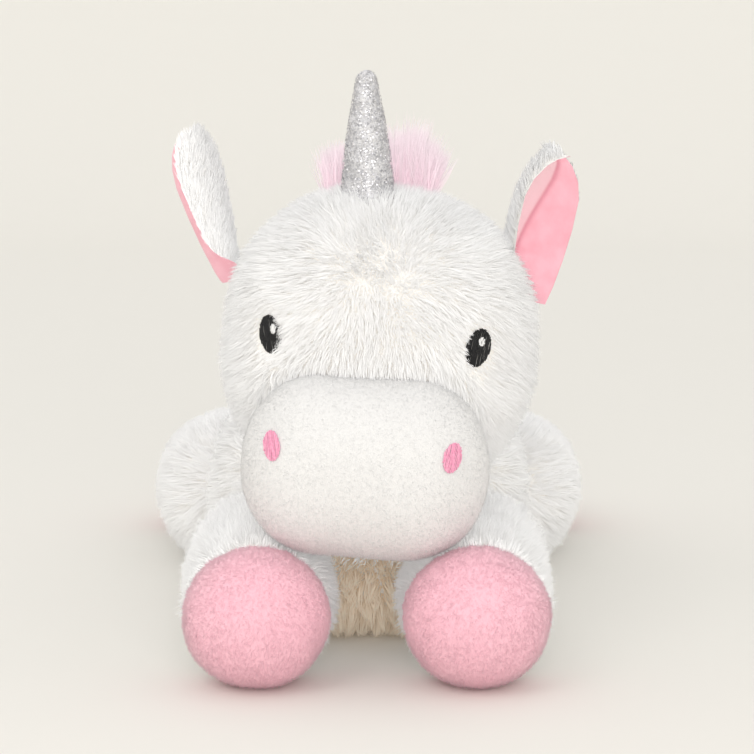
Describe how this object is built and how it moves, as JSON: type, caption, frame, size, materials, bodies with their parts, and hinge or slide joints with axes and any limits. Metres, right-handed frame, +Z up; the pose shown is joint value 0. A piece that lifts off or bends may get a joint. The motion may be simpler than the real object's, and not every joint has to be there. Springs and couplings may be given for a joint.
{
  "type": "plush unicorn",
  "caption": "Soft stuffed unicorn lying on its belly, hooves forward, with a glitter horn, pink forelock and a head, ears, legs and tail that move.",
  "frame": {"origin": "on the floor under the middle of the toy's length and width", "axes": "+Z up, -Y the way the nose points, +X the toy's own left"},
  "size_m": [0.202, 0.33, 0.2333],
  "materials": {
    "back_panel": "long-pile plush",
    "belly_panel": "long-pile plush",
    "trunk_filling": "polyester fibre",
    "pouch_liner": "plain cotton",
    "pouch_grain": "small plastic grain",
    "back_mane": "long-pile plush",
    "neck_cover": "long-pile plush",
    "neck_filling": "polyester fibre",
    "head_cover": "long-pile plush",
    "muzzle_cover": "short-pile velour",
    "head_filling": "polyester fibre",
    "horn_cover": "silver glitter fabric",
    "horn_filling": "polyester fibre",
    "forelock": "long-pile plush",
    "mane": "long-pile plush",
    "tail": "long-pile plush",
    "left_eye": "satin-stitch embroidery",
    "left_eye_glint": "satin-stitch embroidery",
    "left_nostril": "satin-stitch embroidery",
    "left_ear_back": "long-pile plush",
    "left_ear_lining": "short-pile velour",
    "left_foreleg_cover": "long-pile plush",
    "left_foreleg_hoof": "short-pile velour",
    "left_foreleg_filling": "polyester fibre",
    "left_hind_leg_cover": "long-pile plush",
    "left_hind_leg_hoof": "short-pile velour",
    "left_hind_leg_filling": "polyester fibre",
    "right_eye": "satin-stitch embroidery",
    "right_eye_glint": "satin-stitch embroidery",
    "right_nostril": "satin-stitch embroidery",
    "right_ear_back": "long-pile plush",
    "right_ear_lining": "short-pile velour",
    "right_foreleg_cover": "long-pile plush",
    "right_foreleg_hoof": "short-pile velour",
    "right_foreleg_filling": "polyester fibre",
    "right_hind_leg_cover": "long-pile plush",
    "right_hind_leg_hoof": "short-pile velour",
    "right_hind_leg_filling": "polyester fibre"
  },
  "bodies": {
    "trunk": {"back_panel": "back_panel", "belly_panel": "belly_panel", "trunk_filling": "trunk_filling", "pouch_liner": "pouch_liner", "pouch_grain": "pouch_grain", "back_mane": "back_mane"},
    "neck": {"neck_cover": "neck_cover", "neck_filling": "neck_filling"},
    "head": {"head_cover": "head_cover", "muzzle_cover": "muzzle_cover", "head_filling": "head_filling", "left_eye": "left_eye", "right_eye": "right_eye", "left_eye_glint": "left_eye_glint", "right_eye_glint": "right_eye_glint", "left_nostril": "left_nostril", "right_nostril": "right_nostril", "horn_cover": "horn_cover", "horn_filling": "horn_filling", "forelock": "forelock", "mane": "mane"},
    "tail": {"tail": "tail"},
    "left_ear": {"left_ear_back": "left_ear_back", "left_ear_lining": "left_ear_lining"},
    "right_ear": {"right_ear_back": "right_ear_back", "right_ear_lining": "right_ear_lining"},
    "left_foreleg": {"left_foreleg_cover": "left_foreleg_cover", "left_foreleg_hoof": "left_foreleg_hoof", "left_foreleg_filling": "left_foreleg_filling"},
    "left_hind_leg": {"left_hind_leg_cover": "left_hind_leg_cover", "left_hind_leg_hoof": "left_hind_leg_hoof", "left_hind_leg_filling": "left_hind_leg_filling"},
    "right_foreleg": {"right_foreleg_cover": "right_foreleg_cover", "right_foreleg_hoof": "right_foreleg_hoof", "right_foreleg_filling": "right_foreleg_filling"},
    "right_hind_leg": {"right_hind_leg_cover": "right_hind_leg_cover", "right_hind_leg_hoof": "right_hind_leg_hoof", "right_hind_leg_filling": "right_hind_leg_filling"}
  },
  "joints": [
    {"name": "head_turn", "type": "hinge", "parent": "trunk", "child": "neck", "pos_m": [0, -0.02, 0.085], "axis": [0, 0, 1], "range_deg": [-25, 25], "stiffness_Nm_per_rad": 0.15},
    {"name": "head_nod", "type": "hinge", "parent": "neck", "child": "head", "pos_m": [0, -0.02, 0.085], "axis": [-1, 0, 0], "range_deg": [0, 22], "stiffness_Nm_per_rad": 0.1},
    {"name": "left_ear_fold", "type": "hinge", "parent": "head", "child": "left_ear", "pos_m": [0.07111, -0.05808, 0.13885], "axis": [-0.8192, -0.5559, 0.1412], "range_deg": [-20, 20], "stiffness_Nm_per_rad": 0.02},
    {"name": "right_ear_fold", "type": "hinge", "parent": "head", "child": "right_ear", "pos_m": [-0.05764, -0.0502, 0.14628], "axis": [0.4532, 0.8766, 0.1618], "range_deg": [-20, 20], "stiffness_Nm_per_rad": 0.02},
    {"name": "left_foreleg_swing", "type": "hinge", "parent": "trunk", "child": "left_foreleg", "pos_m": [0.046, -0.042, 0.025], "axis": [0, 0, 1], "range_deg": [0, 35], "stiffness_Nm_per_rad": 0.05},
    {"name": "left_hind_leg_swing", "type": "hinge", "parent": "trunk", "child": "left_hind_leg", "pos_m": [0.061, 0.068, 0.033], "axis": [0, 0, -1], "range_deg": [0, 30], "stiffness_Nm_per_rad": 0.05},
    {"name": "right_foreleg_swing", "type": "hinge", "parent": "trunk", "child": "right_foreleg", "pos_m": [-0.046, -0.042, 0.025], "axis": [0, 0, -1], "range_deg": [0, 35], "stiffness_Nm_per_rad": 0.05},
    {"name": "right_hind_leg_swing", "type": "hinge", "parent": "trunk", "child": "right_hind_leg", "pos_m": [-0.061, 0.068, 0.033], "axis": [0, 0, 1], "range_deg": [0, 30], "stiffness_Nm_per_rad": 0.05},
    {"name": "tail_wag", "type": "hinge", "parent": "trunk", "child": "tail", "pos_m": [0, 0.122, 0.058], "axis": [0, 0, 1], "range_deg": [-25, 25], "stiffness_Nm_per_rad": 0.01}
  ]
}
